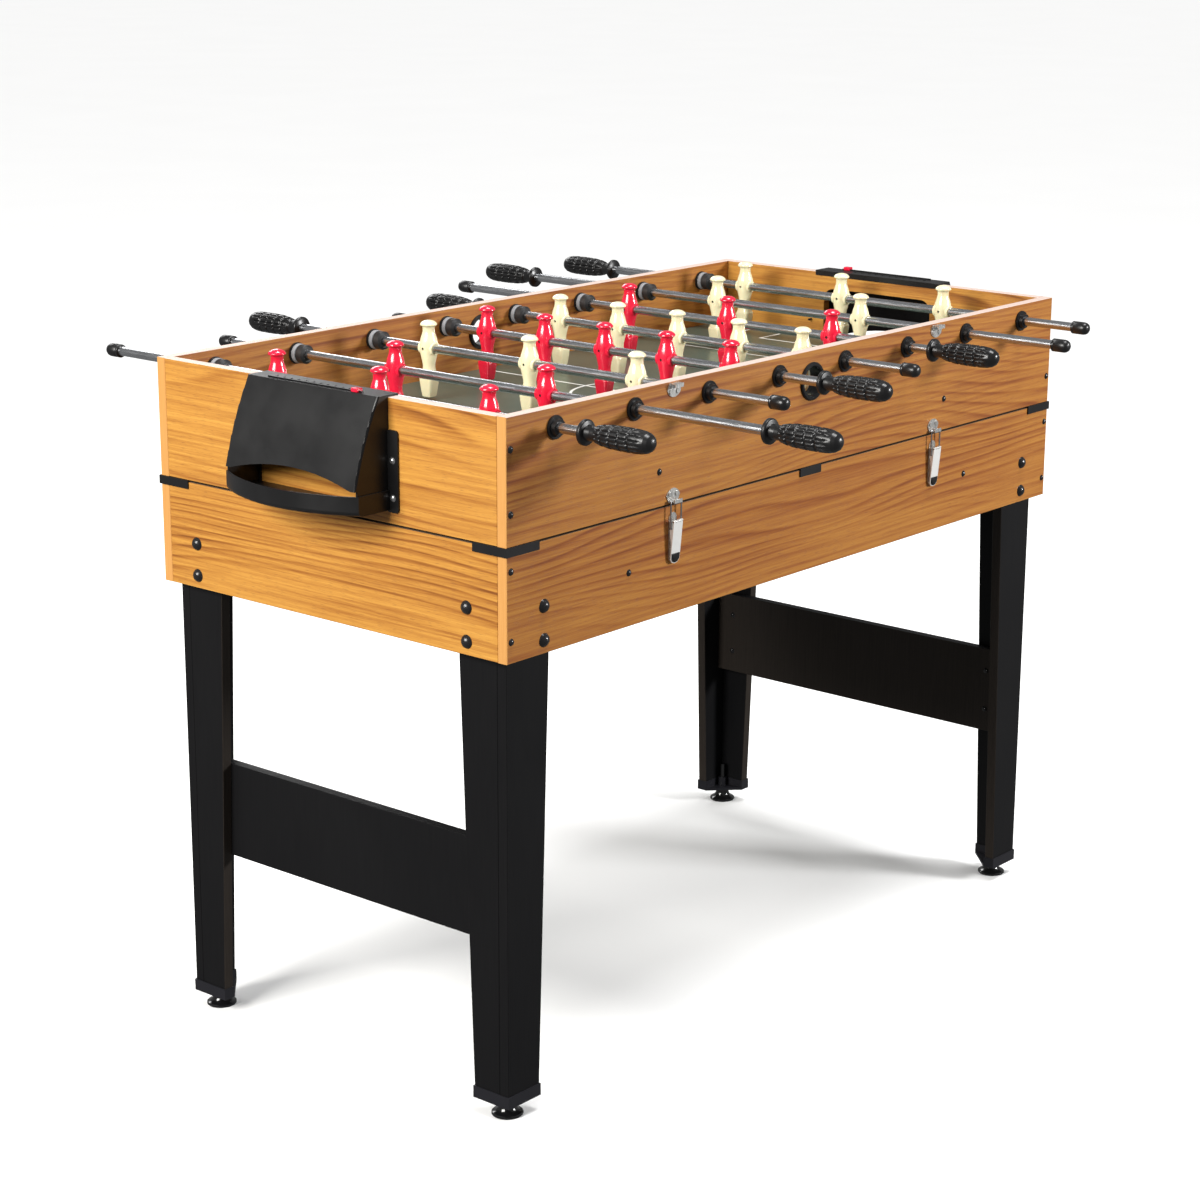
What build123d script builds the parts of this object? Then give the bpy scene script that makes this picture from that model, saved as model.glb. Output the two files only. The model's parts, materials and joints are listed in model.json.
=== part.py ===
from build123d import *
import os

os.makedirs("parts", exist_ok=True)

# A four-foot table-football game, in millimetres.
# +X runs along the pitch, +Y runs along the rods towards the back, +Z is up.
# The origin is on the floor, under the middle of the cabinet.

# ---- Cabinet ----
table_length = 1219
table_width = 616
table_height = 914
box_height = 302
upper_height = 158
split_gap = 2
board = 15
edge_break = 0.6
joint_gap = 0.2

half_length = table_length / 2
half_width = table_width / 2
inner_x = half_length - board
inner_y = half_width - board
box_bottom = table_height - box_height
upper_bottom = table_height - upper_height
lower_top = upper_bottom - split_gap
lower_height = lower_top - box_bottom

# ---- Pitch and the boards inside ----
rod_drop = 24.5
man_reach = 68.5
man_head = 39
field_gap = 4.5
sheet = 6
cleat = 18
rod_z = table_height - rod_drop
field_z = rod_z - man_reach - field_gap
bed_top = box_bottom + 85

# ---- Rods ----
rod_pitch = 149.3
rod_radius = 6.35
rod_wall = 1.5
fit_gap = 0.05
handle_length = 107
cap_length = 26
men_pitch = {2: 267, 3: 187, 5: 110}

# One row for each rod from the -X end: how many men, the middle of the men,
# the front end, the back end, and the side that the handle is on.
rod_rows = [
    (3, -15, -461, 509, -1),
    (2, -30, -621, 445, -1),
    (3, -2, -434, 544, 1),
    (5, -8, -486, 400, -1),
    (5, -17, -429, 471, 1),
    (3, 8, -457, 544, -1),
    (2, 9, -480, 621, 1),
    (3, 16, -423, 581, 1),
]
rod_x = [(n - 3.5) * rod_pitch for n in range(8)]

# ---- Bearings in the long walls ----
bearing_hole = 11
sleeve_radius = 8
flange_radius = 14.75
flange_thick = 3.5
hub_radius = 11
hub_length = 5
ring_radius = 13.5
ring_thick = 6
bumper_radius = 13
bumper_length = 14

# ---- Ball entry, goals and ball catchers ----
entry_z = box_bottom + 260
entry_hole = 23
entry_bore = 20
entry_flange = 26
mouth_width = 200
mouth_top = table_height - 26
mouth_corner = 18
hood_half = 115.5
hood_skin = 2.5
hood_top_reach = 17
hood_mid_reach = 41
hood_foot_reach = 60
hood_foot_z = 805
tray_half = 118
tray_side_reach = 56
tray_reach = 90
tray_bottom = 774
tray_top = 799
lug_half = 132.7
lug_bottom = 771.5
lug_top = 874.3
lug_hole_y = 123.5
lug_holes_z = (789.6, 836.4)
rail_v = 11
slider_y = -73

# ---- Legs, stretchers and feet ----
leg_width = 78
leg_foot_width = 58
leg_top = 689
leg_taper_z = 600
leg_foot_z = 25.2
cap_bottom = 21
cap_top = 37
cap_proud = 1.5
stem_inset = 24
stem_radius = 4
stretcher_bottom = 232
stretcher_top = 364
bolt_x = half_length - 67
bolt_y = half_width - 66
bolts_z = (box_bottom + 17, box_bottom + 60)
bolt_radius = 4

# ---- Draw latches ----
latch_x = 296
pivot_v = 6
pivot_z = 732
crank = 7
bail_length = 35.6
wire = 1.1
bail_half = 10.5


# ---------------------------------------------------------------- cabinet boards
def board_edges(part):
    # The long straight edges of a board, which are slightly broken.
    return part.edges().filter_by(GeomType.LINE).filter_by(lambda edge: edge.length > 100)


with BuildPart() as upper_box:
    # Front and back boards run the full length and carry the rod bearings.
    for back in (inner_y, -half_width):
        with BuildSketch(Plane.XZ.offset(back)):
            with Locations((0, upper_bottom + upper_height / 2)):
                Rectangle(table_length, upper_height)
            with Locations(*[(x, rod_z) for x in rod_x]):
                Circle(bearing_hole, mode=Mode.SUBTRACT)
            with Locations((0, entry_z)):
                Circle(entry_hole, mode=Mode.SUBTRACT)
        extrude(amount=board)
    # End boards fit between them, each with a goal mouth level with the pitch.
    for back in (-half_length, inner_x):
        with BuildSketch(Plane.YZ.offset(back)):
            with Locations((0, upper_bottom + upper_height / 2)):
                Rectangle(2 * (inner_y - joint_gap), upper_height)
            with BuildLine():
                half_mouth = mouth_width / 2
                FilletPolyline(
                    (-half_mouth, field_z),
                    (-half_mouth, mouth_top),
                    (half_mouth, mouth_top),
                    (half_mouth, field_z),
                    radius=mouth_corner,
                )
                Line((half_mouth, field_z), (-half_mouth, field_z))
            make_face(mode=Mode.SUBTRACT)
        extrude(amount=board)
    chamfer(board_edges(upper_box), edge_break)
upper_box.part.label = "upper_box"
export_step(upper_box.part, "parts/upper_box.step")

with BuildPart() as lower_box:
    for back in (inner_y, -half_width):
        with BuildSketch(Plane.XZ.offset(back)):
            with Locations((0, box_bottom + lower_height / 2)):
                Rectangle(table_length, lower_height)
            with Locations(*[(side * bolt_x, z) for side in (-1, 1) for z in bolts_z]):
                Circle(bolt_radius + fit_gap, mode=Mode.SUBTRACT)
        extrude(amount=board)
    for back in (-half_length, inner_x):
        with BuildSketch(Plane.YZ.offset(back)):
            with Locations((0, box_bottom + lower_height / 2)):
                Rectangle(2 * (inner_y - joint_gap), lower_height)
            with Locations(*[(side * bolt_y, z) for side in (-1, 1) for z in bolts_z]):
                Circle(bolt_radius + fit_gap, mode=Mode.SUBTRACT)
        extrude(amount=board)
    chamfer(board_edges(lower_box), edge_break)
lower_box.part.label = "lower_box"
export_step(lower_box.part, "parts/lower_box.step")

# The pitch is a thin sheet that lies on cleats inside the upper box.
with BuildPart() as playfield:
    with BuildSketch(Plane.XY.offset(field_z - sheet)):
        Rectangle(2 * (inner_x - 0.3), 2 * (inner_y - 0.3))
    extrude(amount=sheet)
playfield.part.label = "playfield"
export_step(playfield.part, "parts/playfield.step")

# A second sheet closes the lower box above the tops of the legs.
with BuildPart() as lower_bed:
    with BuildSketch(Plane.XY.offset(bed_top - sheet)):
        Rectangle(2 * (inner_x - 0.3), 2 * (inner_y - 0.3))
    extrude(amount=sheet)
lower_bed.part.label = "lower_bed"
export_step(lower_bed.part, "parts/lower_bed.step")

# Square cleats are screwed to the walls under both sheets; the lower ones stop short of the legs.
with BuildPart() as cleats:
    for top, long_half, short_half in ((field_z - sheet, 550, 230), (bed_top - sheet, 500, 200)):
        level = top - joint_gap - cleat
        with BuildSketch(Plane.XY.offset(level)):
            for side in (-1, 1):
                with Locations((0, side * (inner_y - joint_gap - cleat / 2))):
                    Rectangle(2 * long_half, cleat)
                with Locations((side * (inner_x - joint_gap - cleat / 2), 0)):
                    Rectangle(cleat, 2 * short_half)
        extrude(amount=cleat)
cleats.part.label = "cleats"
export_step(cleats.part, "parts/cleats.step")

# ---------------------------------------------------------------- edge protectors
skirt = 2
skirt_bottom = upper_bottom - 11.5
corner_arm_x = 57
corner_arm_y = 54
middle_arm = 47


def corner_outline(depth, along_x, along_y):
    # An L with its outside corner on the protector's outer faces, arms pointing to -X and -Y.
    Polyline(
        (half_length + skirt, half_width + skirt),
        (half_length - along_x, half_width + skirt),
        (half_length - along_x, half_width + skirt - depth),
        (half_length + skirt - depth, half_width + skirt - depth),
        (half_length + skirt - depth, half_width - along_y),
        (half_length + skirt, half_width - along_y),
        close=True,
    )


with BuildPart() as corner_guard:
    with BuildSketch(Plane.XY.offset(skirt_bottom)):
        with BuildLine():
            corner_outline(skirt - 0.1, corner_arm_x, corner_arm_y)
        make_face()
    extrude(amount=upper_bottom - skirt_bottom)
    with BuildSketch(Plane.XY.offset(lower_top)):
        with BuildLine():
            corner_outline(skirt + board, corner_arm_x, corner_arm_y)
        make_face()
    extrude(amount=split_gap)

with BuildPart() as edge_protectors:
    add(corner_guard.part)
    add(corner_guard.part.mirror(Plane.YZ))
    add(corner_guard.part.mirror(Plane.XZ))
    add(corner_guard.part.mirror(Plane.XZ).mirror(Plane.YZ))
    for side in (-1, 1):
        with Locations((0, side * (half_width + skirt / 2 + 0.05), (upper_bottom + skirt_bottom) / 2)):
            Box(middle_arm, skirt - 0.1, upper_bottom - skirt_bottom)
        with Locations((0, side * (half_width - board / 2 + skirt / 2), lower_top + split_gap / 2)):
            Box(middle_arm, board + skirt, split_gap)
edge_protectors.part.label = "edge_protectors"
export_step(edge_protectors.part, "parts/edge_protectors.step")

# ---------------------------------------------------------------- rod bearings
# Each bearing is an outer half with a hub and an inner flange; both hold the turning sleeve.
hub_end = half_width + flange_thick + hub_length
inner_face = inner_y - flange_thick

with BuildPart() as bearing_pair:
    # Revolved about the rod's line; the sketch holds radius in X and position along the rod in Y.
    with BuildSketch(Plane.XY):
        with BuildLine():
            Polyline(
                (sleeve_radius + fit_gap, inner_y + 3),
                (bearing_hole - 0.1, inner_y + 3),
                (bearing_hole - 0.1, half_width + 0.05),
                (flange_radius, half_width + 0.05),
                (flange_radius, half_width + flange_thick - 1),
                (flange_radius - 1, half_width + flange_thick),
                (hub_radius, half_width + flange_thick),
                (hub_radius - 0.8, hub_end),
                (sleeve_radius + fit_gap, hub_end),
                close=True,
            )
        make_face()
        with BuildLine():
            Polyline(
                (sleeve_radius + fit_gap, inner_face),
                (flange_radius - 1, inner_face),
                (flange_radius, inner_face + 1),
                (flange_radius, inner_y - 0.05),
                (bearing_hole - 0.1, inner_y - 0.05),
                (bearing_hole - 0.1, inner_y + 2.7),
                (sleeve_radius + fit_gap, inner_y + 2.7),
                close=True,
            )
        make_face()
    revolve(axis=Axis.Y)

with BuildPart() as rod_bearings:
    for x in rod_x:
        for turn in (0, 180):
            with Locations(Location((x, 0, rod_z), (0, 0, turn))):
                add(bearing_pair.part)
rod_bearings.part.label = "rod_bearings"
export_step(rod_bearings.part, "parts/rod_bearings.step")

# ---------------------------------------------------------------- ball entry rings
with BuildPart() as entry_pair:
    with BuildSketch(Plane.XY):
        with BuildLine():
            Polyline(
                (entry_bore, inner_y + 4),
                (entry_hole - 0.1, inner_y + 4),
                (entry_hole - 0.1, half_width + 0.05),
                (entry_flange, half_width + 0.05),
                (entry_flange, half_width + 2),
                (entry_flange - 1.5, half_width + 3.5),
                (entry_bore + 1.5, half_width + 3.5),
                (entry_bore, half_width + 2),
                close=True,
            )
        make_face()
        with BuildLine():
            Polyline(
                (entry_bore, inner_y - 2),
                (entry_bore + 1.5, inner_y - 3.5),
                (entry_flange - 1.5, inner_y - 3.5),
                (entry_flange, inner_y - 2),
                (entry_flange, inner_y - 0.05),
                (entry_hole - 0.1, inner_y - 0.05),
                (entry_hole - 0.1, inner_y + 3.7),
                (entry_bore, inner_y + 3.7),
                close=True,
            )
        make_face()
    revolve(axis=Axis.Y)

with BuildPart() as ball_rings:
    for turn in (0, 180):
        with Locations(Location((0, 0, entry_z), (0, 0, turn))):
            add(entry_pair.part)
ball_rings.part.label = "ball_rings"
export_step(ball_rings.part, "parts/ball_rings.step")


# ---------------------------------------------------------------- goal units
def out(v):
    # X of a point that stands v outside the -X end of the cabinet.
    return -half_length - v


def hood_outline(inset, bottom):
    # Side view of the hood: flat top, then one bulging curve down to its front edge.
    top = table_height + hood_skin - inset
    Polyline(
        (out(hood_foot_reach - inset), bottom),
        (out(0.2), bottom),
        (out(0.2), top),
        (out(hood_top_reach - inset / 2), top),
    )
    ThreePointArc(
        (out(hood_top_reach - inset / 2), top),
        (out(hood_mid_reach - inset), table_height - 48),
        (out(hood_foot_reach - inset), bottom),
    )


def tray_outline(inset):
    # Plan view of the ball catcher: straight sides and a bowed front.
    half = tray_half - inset
    corner = out(tray_side_reach - inset / 2)
    Polyline((corner, half), (out(0.2), half), (out(0.2), -half), (corner, -half))
    ThreePointArc((corner, -half), (out(tray_reach - inset), 0), (corner, half))


with BuildPart() as goal_unit:
    with BuildSketch(Plane.XZ.offset(-hood_half)):
        with BuildLine():
            hood_outline(0, hood_foot_z)
        make_face()
    extrude(amount=2 * hood_half)
    rims = goal_unit.edges().filter_by(GeomType.CIRCLE)
    fillet(rims, 2.4)
    # The catcher is a shallow tub with a rounded lower edge.
    with BuildSketch(Plane.XY.offset(tray_bottom)):
        with BuildLine():
            tray_outline(0)
        make_face()
    extrude(amount=tray_top - tray_bottom)
    tub_edges = goal_unit.edges().group_by(Axis.Z)[0].filter_by(GeomType.CIRCLE)
    fillet(tub_edges, 6)
    # Side cheeks join the hood to the catcher.
    for side in (-1, 1):
        with Locations((out(tray_side_reach / 2), side * (hood_half - hood_skin / 2), (tray_top + hood_foot_z) / 2)):
            Box(tray_side_reach - 0.4, hood_skin, hood_foot_z - tray_top + 8)
    # Hollow both; the wall side stays open and the cabinet closes it.
    with BuildSketch(Plane.XZ.offset(hood_skin - hood_half)):
        with BuildLine():
            hood_outline(hood_skin, hood_foot_z - 0.01)
        make_face()
    extrude(amount=2 * (hood_half - hood_skin), mode=Mode.SUBTRACT)
    with BuildSketch(Plane.XY.offset(tray_bottom + hood_skin)):
        with BuildLine():
            tray_outline(hood_skin)
        make_face()
    extrude(amount=tray_top - tray_bottom, mode=Mode.SUBTRACT)
    for side in (-1, 1):
        with Locations((out(tray_side_reach / 2), side * (hood_half - hood_skin / 2), (tray_top + hood_foot_z) / 2)):
            Box(tray_side_reach - 0.4, hood_skin, hood_foot_z - tray_top + 8)
    # The front edge of the hood arches up over the catcher.
    with BuildSketch(Plane.YZ.offset(out(hood_foot_reach + 5))):
        with BuildLine():
            arch_half = hood_half - 9
            ThreePointArc((-arch_half, hood_foot_z), (0, hood_foot_z + 15), (arch_half, hood_foot_z))
            Polyline(
                (arch_half, hood_foot_z),
                (arch_half, hood_foot_z - 2),
                (-arch_half, hood_foot_z - 2),
                (-arch_half, hood_foot_z),
            )
        make_face()
    extrude(amount=hood_foot_reach - 10, mode=Mode.SUBTRACT)
    # A lip laps over the top edge of the end board and turns down inside it.
    with Locations((out(-board / 2 - 0.8), 0, table_height + 1.35)):
        Box(board + 3.6, 2 * hood_half, 2.3)
    with Locations((-inner_x + 1.3, 0, table_height - 2)):
        Box(2, 2 * hood_half, 7)
    # Screw lugs lie against the end board on both sides.
    for side in (-1, 1):
        with BuildSketch(Plane.YZ.offset(out(hood_skin + 0.2))):
            with Locations((side * (lug_half + hood_half - 3) / 2, (lug_bottom + lug_top) / 2)):
                RectangleRounded(lug_half - hood_half + 3, lug_top - lug_bottom, 5)
            with Locations(*[(side * lug_hole_y, z) for z in lug_holes_z]):
                Circle(2.2, mode=Mode.SUBTRACT)
        extrude(amount=hood_skin)
    # The score rail and its raised marks stand on the flat top.
    with Locations((out(rail_v), 0, table_height + hood_skin + 0.9)):
        Box(3, 166, 2)
    with Locations(*[(out(2.7), 13 * n - 52, table_height + hood_skin + 0.4) for n in range(11)]):
        Box(6, 1.6, 1)

with BuildPart() as goal_units:
    for turn in (0, 180):
        with Locations(Location((0, 0, 0), (0, 0, turn))):
            add(goal_unit.part)
goal_units.part.label = "goal_units"
export_step(goal_units.part, "parts/goal_units.step")

# A saddle that slides along the score rail.
with BuildPart() as saddle:
    with BuildSketch(Plane.XZ.offset(-5)):
        with Locations((0, 2.6)):
            RectangleRounded(10, 5.2, 1.4)
        with Locations((0, 0)):
            Rectangle(3.5, 4.4, mode=Mode.SUBTRACT)
    extrude(amount=10)

for name, turn in (("score_slider_left", 0), ("score_slider_right", 180)):
    with BuildPart() as slider:
        spot = Pos(out(rail_v), slider_y, table_height + hood_skin + 0.1)
        with Locations(Location((0, 0, 0), (0, 0, turn)) * spot):
            add(saddle.part)
    slider.part.label = name
    export_step(slider.part, f"parts/{name}.step")

# ---------------------------------------------------------------- draw latches
# Everything is drawn for a latch at X = 0 on the front wall, where "front(v)" is v outside the wall.


def front(v):
    return -half_width - v


def wall_sketch(v):
    # A sketch plane parallel to the front wall; extruding goes outwards.
    return Plane.XZ.offset(half_width + v)


plate = 1.2
lip_v = 8.9
keeper_low = upper_bottom + 2.2
keeper_high = keeper_low + 18.3
bar_z = pivot_z - crank + bail_length
ear_radius = 2.4

with BuildPart() as keeper:
    with BuildSketch(wall_sketch(0.05)):
        with BuildLine():
            Polyline((-9, keeper_low), (9, keeper_low), (13.5, keeper_high - 9))
            ThreePointArc((13.5, keeper_high - 9), (0, keeper_high), (-13.5, keeper_high - 9))
            Line((-13.5, keeper_high - 9), (-9, keeper_low))
        make_face()
    extrude(amount=plate)
    # The shelf and its upturned lip catch the wire.
    with Locations((0, front(lip_v / 2 + plate / 2), keeper_low + plate / 2)):
        Box(16, lip_v + plate - 0.1, plate)
    with Locations((0, front(lip_v + plate / 2), keeper_low + 2.5)):
        Box(16, plate, 5)
    # Two round screw heads.
    with BuildSketch(wall_sketch(plate)):
        with Locations((-7, keeper_high - 7.5), (7, keeper_high - 7.5)):
            Circle(3.4)
    extrude(amount=1.5)

with BuildPart() as latch_base:
    with BuildSketch(wall_sketch(0.05)):
        with Locations((0, 712)):
            SlotOverall(66, 15, rotation=90)
    extrude(amount=plate)
    # Two ears carry the lever's pin.
    for side in (-1, 1):
        with BuildSketch(Plane.YZ.offset(side * 6.4 - 0.6)):
            with BuildLine():
                Polyline(
                    (front(pivot_v), pivot_z + ear_radius),
                    (front(0.3), pivot_z + ear_radius),
                    (front(0.3), pivot_z - 6),
                    (front(pivot_v), pivot_z - ear_radius),
                )
                ThreePointArc(
                    (front(pivot_v), pivot_z - ear_radius),
                    (front(pivot_v + ear_radius), pivot_z),
                    (front(pivot_v), pivot_z + ear_radius),
                )
            make_face()
        extrude(amount=1.2)
    with BuildSketch(Plane.YZ.offset(-9.1)):
        with Locations((front(pivot_v), pivot_z)):
            Circle(1.5)
    extrude(amount=18.2)
    with BuildSketch(wall_sketch(plate)):
        with Locations((0, 692), (0, 706)):
            Circle(2.6)
    extrude(amount=1)

lever_low = 679
lever_high = pivot_z + 4.2

with BuildPart() as lever_shape:
    # The face plate stands off at the pivot and comes in towards the wall at its tip.
    with BuildSketch(Plane.YZ.offset(-9)):
        with BuildLine():
            Polyline(
                (front(10.6), lever_high),
                (front(9.4), lever_high),
                (front(3.6), lever_low),
                (front(4.8), lever_low),
                close=True,
            )
        make_face()
    extrude(amount=18)
    tips = lever_shape.edges().filter_by(lambda edge: 1 < edge.length < 2).group_by(Axis.Z)[0]
    fillet(tips, 8)
    # Side flanges carry the pin and the ends of the wire.
    for side in (-1, 1):
        with BuildSketch(Plane.YZ.offset(side * 8 - 0.6)):
            with BuildLine():
                Polyline(
                    (front(10), lever_high),
                    (front(4.2), lever_high - 0.6),
                    (front(3), pivot_z - 4),
                    (front(3), pivot_z - crank - 3),
                    (front(6.2), 700),
                    close=True,
                )
            make_face()
            with Locations((front(pivot_v), pivot_z)):
                Circle(1.5 + fit_gap, mode=Mode.SUBTRACT)
            with Locations((front(pivot_v), pivot_z - crank)):
                Circle(wire + fit_gap, mode=Mode.SUBTRACT)
        extrude(amount=1.2)

with BuildPart() as bail_shape:
    # One bent wire: up both sides and across behind the keeper's lip.
    with BuildLine():
        bend = 1.6
        FilletPolyline(
            (-7.15, front(pivot_v), pivot_z - crank),
            (-bail_half, front(pivot_v), pivot_z - crank),
            (-bail_half, front(pivot_v), bar_z),
            (bail_half, front(pivot_v), bar_z),
            (bail_half, front(pivot_v), pivot_z - crank),
            (7.15, front(pivot_v), pivot_z - crank),
            radius=[1.2, bend, bend, 1.2],
        )
    with BuildSketch(Plane.YZ.offset(-7.15)):
        with Locations((front(pivot_v), pivot_z - crank)):
            Circle(wire)
    sweep()

flipped_z = table_height + upper_bottom
with BuildPart() as latch_hardware:
    for turn in (0, 180):
        for x in (-latch_x, latch_x):
            with Locations(Location((0, 0, 0), (0, 0, turn)) * Pos(x, 0, 0)):
                add(latch_base.part)
                add(keeper.part)
            # The same keeper upside down near the top edge, for the box turned over.
            with Locations(Location((0, 0, 0), (0, 0, turn)) * Pos(x, 0, flipped_z)):
                add(keeper.part.mirror(Plane.XY))
latch_hardware.part.label = "latch_hardware"
export_step(latch_hardware.part, "parts/latch_hardware.step")

for place, turn in (("front", 0), ("back", 180)):
    for name, x in (("left", -latch_x), ("right", latch_x)):
        spot = Location((0, 0, 0), (0, 0, turn)) * Pos(x if turn == 0 else -x, 0, 0)
        with BuildPart() as lever:
            with Locations(spot):
                add(lever_shape.part)
        lever.part.label = f"latch_lever_{place}_{name}"
        export_step(lever.part, f"parts/latch_lever_{place}_{name}.step")
        with BuildPart() as bail:
            with Locations(spot):
                add(bail_shape.part)
        bail.part.label = f"latch_bail_{place}_{name}"
        export_step(bail.part, f"parts/latch_bail_{place}_{name}.step")

# ---------------------------------------------------------------- a man
# Drawn about the rod's line: turned head and body, a boss along the rod, and a square foot.
man_bore = rod_radius + fit_gap
waist_z = -26
ankle_z = -42
boss_half = 13.3

with BuildPart() as man:
    with BuildSketch(Plane.XZ):
        with BuildLine():
            Line((0, waist_z - 1), (0, man_head))
            Spline((0, man_head), (7.5, man_head - 1.4), (11.8, man_head - 5), tangents=((1, 0), (0.2, -1)))
            Line((11.8, man_head - 5), (11.6, man_head - 6.8))
            Line((11.6, man_head - 6.8), (9, man_head - 8.6))
            Spline(
                (9, man_head - 8.6),
                (8.6, 24),
                (12.6, 6),
                (12.4, -3),
                (8.3, waist_z + 2),
                (8.3, waist_z - 1),
            )
            Line((8.3, waist_z - 1), (0, waist_z - 1))
        make_face()
    revolve(axis=Axis.Z)
    with BuildSketch(Plane.XZ.offset(-boss_half)):
        Circle(9.2)
    extrude(amount=2 * boss_half)
    with BuildSketch(Plane.XY.offset(waist_z)):
        RectangleRounded(14.8, 14.8, 6)
    with BuildSketch(Plane.XY.offset(ankle_z)):
        RectangleRounded(21, 23, 4)
    loft()
    with BuildSketch(Plane.XY.offset(ankle_z)):
        RectangleRounded(21, 23, 4)
    with BuildSketch(Plane.XY.offset(-man_reach)):
        RectangleRounded(15, 16, 3)
    loft()
    with BuildSketch(Plane.XZ.offset(-20)):
        Circle(man_bore)
    extrude(amount=40, mode=Mode.SUBTRACT)
    # A screw from the side bears on the rod.
    with BuildSketch(Plane.YZ.offset(-20)):
        Circle(2)
    extrude(amount=20, mode=Mode.SUBTRACT)

with BuildPart() as man_screw:
    with BuildSketch(Plane.YZ.offset(-11.6)):
        Circle(1.95)
    extrude(amount=5)

# ---------------------------------------------------------------- handle and end cap
# Both are drawn about the Y axis, with the closed end towards -Y at Y = 0.
flat_end = 3

with BuildPart() as handle:
    with BuildSketch(Plane.XY):
        with BuildLine():
            Polyline(
                (flat_end, 0),
                (0, 0),
                (0, 16),
                (rod_radius + fit_gap, 16),
                (rod_radius + fit_gap, handle_length),
                (15, handle_length),
                (16, handle_length - 1),
                (16, handle_length - 4.5),
                (14.5, handle_length - 6),
                (9.8, handle_length - 7),
                (9.2, handle_length - 21),
                (11.2, handle_length - 23),
            )
            Spline(
                (11.2, handle_length - 23),
                (13.7, handle_length - 34),
                (15, 46),
                (14.3, 20),
                (flat_end, 0),
                tangents=((0.5, -1), (-1, 0)),
            )
        make_face()
    revolve(axis=Axis.Y)

with BuildPart() as end_cap:
    with BuildSketch(Plane.XY):
        with BuildLine():
            Polyline(
                (flat_end, 0),
                (0, 0),
                (0, 5),
                (rod_radius + fit_gap, 5),
                (rod_radius + fit_gap, cap_length),
                (8.6, cap_length),
                (9.2, cap_length - 1),
                (9.2, 8),
            )
            Spline((9.2, 8), (flat_end, 0), tangents=((0, -1), (-1, 0)))
        make_face()
    revolve(axis=Axis.Y)

# ---------------------------------------------------------------- sleeves and bumpers
# They turn with the rod and stay at the walls while the rod slides through them.
# A liner runs through the bearing, and a separate ring sits round its inner end.
ring_face = inner_face - 0.2
bumper_face = ring_face - ring_thick - 0.2
bumper_end = bumper_face - bumper_length
slide_bore = rod_radius + fit_gap

with BuildPart() as sleeve_pair:
    with BuildSketch(Plane.XY):
        with BuildLine():
            Polyline(
                (slide_bore, ring_face - ring_thick),
                (sleeve_radius, ring_face - ring_thick),
                (sleeve_radius, hub_end - 0.5),
                (slide_bore, hub_end - 0.5),
                close=True,
            )
        make_face()
        with BuildLine():
            Polyline(
                (sleeve_radius + 0.05, ring_face - ring_thick),
                (ring_radius - 0.6, ring_face - ring_thick),
                (ring_radius, ring_face - ring_thick + 0.6),
                (ring_radius, ring_face),
                (sleeve_radius + 0.05, ring_face),
                close=True,
            )
        make_face()
        with BuildLine():
            Polyline(
                (slide_bore, bumper_end),
                (bumper_radius - 3, bumper_end),
                (bumper_radius, bumper_end + 3),
                (bumper_radius, bumper_face - 1),
                (bumper_radius - 1, bumper_face),
                (slide_bore, bumper_face),
                close=True,
            )
        make_face()
    revolve(axis=Axis.Y)

# ---------------------------------------------------------------- the eight rods
for n, (count, middle, front_end, back_end, side) in enumerate(rod_rows, start=1):
    x = rod_x[n - 1]
    # Tube ends stop inside the handle at one end and inside the cap at the other.
    front_cover = 17 if side < 0 else 6
    back_cover = 17 if side > 0 else 6
    tube_length = back_end - back_cover - front_end - front_cover
    with BuildPart() as tube:
        with BuildSketch(Plane(origin=(x, back_end - back_cover, rod_z), x_dir=(1, 0, 0), z_dir=(0, -1, 0))):
            Circle(rod_radius)
            Circle(rod_radius - rod_wall, mode=Mode.SUBTRACT)
        extrude(amount=tube_length)
    tube.part.label = f"rod_{n}_tube"
    export_step(tube.part, f"parts/rod_{n}_tube.step")

    with BuildPart() as men:
        for k in range(count):
            y = middle + (k - (count - 1) / 2) * men_pitch[count]
            with Locations((x, y, rod_z)):
                add(man.part)
                add(man_screw.part)
    men.part.label = f"rod_{n}_men"
    export_step(men.part, f"parts/rod_{n}_men.step")

    with BuildPart() as grips:
        front_piece, back_piece = (handle, end_cap) if side < 0 else (end_cap, handle)
        with Locations(Location((x, front_end, rod_z))):
            add(front_piece.part)
        with Locations(Location((x, back_end, rod_z), (0, 0, 180))):
            add(back_piece.part)
    grips.part.label = f"rod_{n}_grips"
    export_step(grips.part, f"parts/rod_{n}_grips.step")

    with BuildPart() as sleeves:
        for turn in (0, 180):
            with Locations(Location((x, 0, rod_z), (0, 0, turn))):
                add(sleeve_pair.part)
    sleeves.part.label = f"rod_{n}_sleeves"
    export_step(sleeves.part, f"parts/rod_{n}_sleeves.step")

# ---------------------------------------------------------------- legs
# Drawn for the +X +Y corner, then mirrored; each leg is two tapered boards in an L.
leg_x = inner_x - joint_gap
leg_y = inner_y - joint_gap


def leg_outline(corner, start):
    # A board that keeps its width in the box and tapers below it; "start" is its outer edge.
    Polyline(
        (corner - start, leg_foot_z),
        (corner - start, leg_top),
        (corner - leg_width, leg_top),
        (corner - leg_width, leg_taper_z),
        (corner - leg_foot_width, leg_foot_z),
        close=True,
    )


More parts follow.
